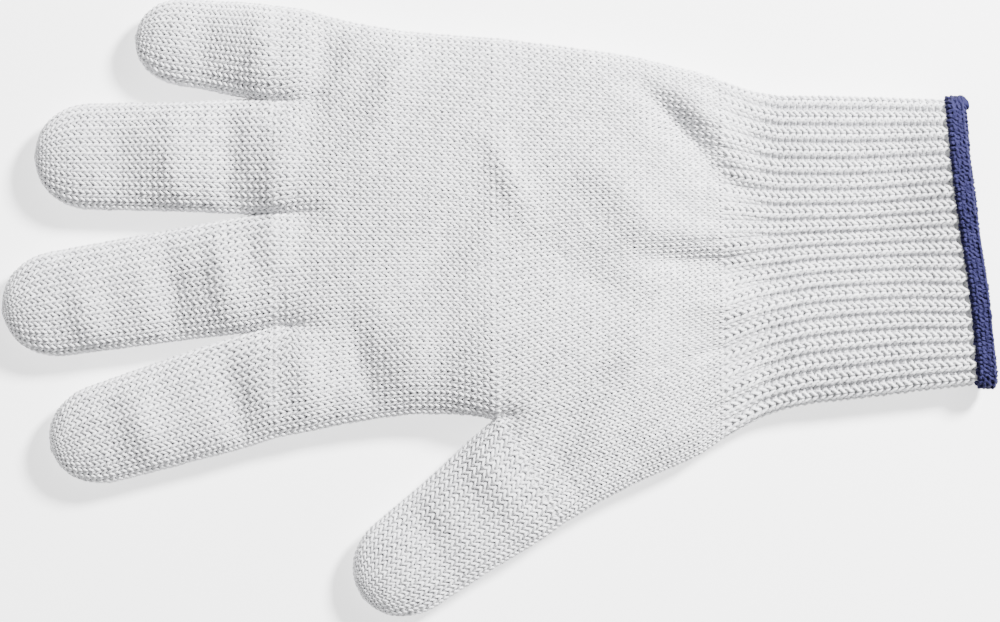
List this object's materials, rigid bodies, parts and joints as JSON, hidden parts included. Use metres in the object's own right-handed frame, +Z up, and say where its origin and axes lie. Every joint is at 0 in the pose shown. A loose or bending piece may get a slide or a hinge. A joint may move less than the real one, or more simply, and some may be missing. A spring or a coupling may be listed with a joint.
{
  "type": "cut resistant glove",
  "caption": "Seamless knitted cut resistant work glove lying flat, with bending fingers and thumb, a ribbed elastic cuff and an overlocked hem",
  "frame": {"origin": "on the surface under the middle of the glove as it lies flat", "axes": "+X from the fingers to the cuff, +Y towards the little finger, +Z up out of the palm side"},
  "size_m": [0.2564, 0.158, 0.014],
  "materials": {
    "yarn": "knitted",
    "elastic": "covered elastic yarn",
    "hem_thread": "overlocked thread"
  },
  "bodies": {
    "palm": {"palm_upper": "yarn", "palm_lower": "yarn", "little_root": "yarn", "ring_root": "yarn", "middle_root": "yarn", "index_root": "yarn"},
    "little_base": {"little_base": "yarn"},
    "little_middle": {"little_middle": "yarn"},
    "little_tip": {"little_tip": "yarn"},
    "ring_base": {"ring_base": "yarn"},
    "ring_middle": {"ring_middle": "yarn"},
    "ring_tip": {"ring_tip": "yarn"},
    "middle_base": {"middle_base": "yarn"},
    "middle_middle": {"middle_middle": "yarn"},
    "middle_tip": {"middle_tip": "yarn"},
    "index_base": {"index_base": "yarn"},
    "index_middle": {"index_middle": "yarn"},
    "index_tip": {"index_tip": "yarn"},
    "thumb_base": {"thumb_base": "yarn"},
    "thumb_tip": {"thumb_tip": "yarn"},
    "cuff": {"wrist_cuff": "yarn", "elastic_threads": "elastic", "hem_binding": "hem_thread", "hem_thread_end": "hem_thread"}
  },
  "joints": [
    {"name": "little_knuckle_fold", "type": "hinge", "parent": "palm", "child": "little_base", "pos_m": [-0.054, 0.0654, 0.0115], "axis": [0.1115, 0.9938, 0], "range_deg": [0, 70]},
    {"name": "little_second_fold", "type": "hinge", "parent": "little_base", "child": "little_middle", "pos_m": [-0.06735, 0.0669, 0.01052], "axis": [0.1115, 0.9938, 0], "range_deg": [0, 80]},
    {"name": "little_end_fold", "type": "hinge", "parent": "little_middle", "child": "little_tip", "pos_m": [-0.07912, 0.06822, 0.00966], "axis": [0.1115, 0.9938, 0], "range_deg": [0, 45]},
    {"name": "ring_knuckle_fold", "type": "hinge", "parent": "palm", "child": "ring_base", "pos_m": [-0.058, 0.0393, 0.0115], "axis": [0, 1, 0], "range_deg": [0, 70]},
    {"name": "ring_second_fold", "type": "hinge", "parent": "ring_base", "child": "ring_middle", "pos_m": [-0.07874, 0.0393, 0.01065], "axis": [0, 1, 0], "range_deg": [0, 80]},
    {"name": "ring_end_fold", "type": "hinge", "parent": "ring_middle", "child": "ring_tip", "pos_m": [-0.09704, 0.0393, 0.00991], "axis": [0, 1, 0], "range_deg": [0, 45]},
    {"name": "middle_knuckle_fold", "type": "hinge", "parent": "palm", "child": "middle_base", "pos_m": [-0.058, 0.0102, 0.0115], "axis": [-0.1478, 0.989, 0], "range_deg": [0, 70]},
    {"name": "middle_second_fold", "type": "hinge", "parent": "middle_base", "child": "middle_middle", "pos_m": [-0.08171, 0.00666, 0.01068], "axis": [-0.1478, 0.989, 0], "range_deg": [0, 80]},
    {"name": "middle_end_fold", "type": "hinge", "parent": "middle_middle", "child": "middle_tip", "pos_m": [-0.10262, 0.00353, 0.00996], "axis": [-0.1478, 0.989, 0], "range_deg": [0, 45]},
    {"name": "index_knuckle_fold", "type": "hinge", "parent": "palm", "child": "index_base", "pos_m": [-0.058, -0.0189, 0.0115], "axis": [-0.279, 0.9603, 0], "range_deg": [0, 70]},
    {"name": "index_second_fold", "type": "hinge", "parent": "index_base", "child": "index_middle", "pos_m": [-0.07759, -0.02459, 0.01065], "axis": [-0.279, 0.9603, 0], "range_deg": [0, 80]},
    {"name": "index_end_fold", "type": "hinge", "parent": "index_middle", "child": "index_tip", "pos_m": [-0.09488, -0.02961, 0.0099], "axis": [-0.279, 0.9603, 0], "range_deg": [0, 45]},
    {"name": "thumb_knuckle_fold", "type": "hinge", "parent": "palm", "child": "thumb_base", "pos_m": [0.0085, -0.0413, 0.0115], "axis": [-0.5736, 0.8192, 0], "range_deg": [0, 50]},
    {"name": "thumb_end_fold", "type": "hinge", "parent": "thumb_base", "child": "thumb_tip", "pos_m": [-0.01382, -0.05693, 0.01022], "axis": [-0.5736, 0.8192, 0], "range_deg": [0, 80]},
    {"name": "wrist_fold", "type": "hinge", "parent": "palm", "child": "cuff", "pos_m": [0.067, 0.0151, 0.0129], "axis": [0, -1, 0], "range_deg": [0, 60]}
  ]
}
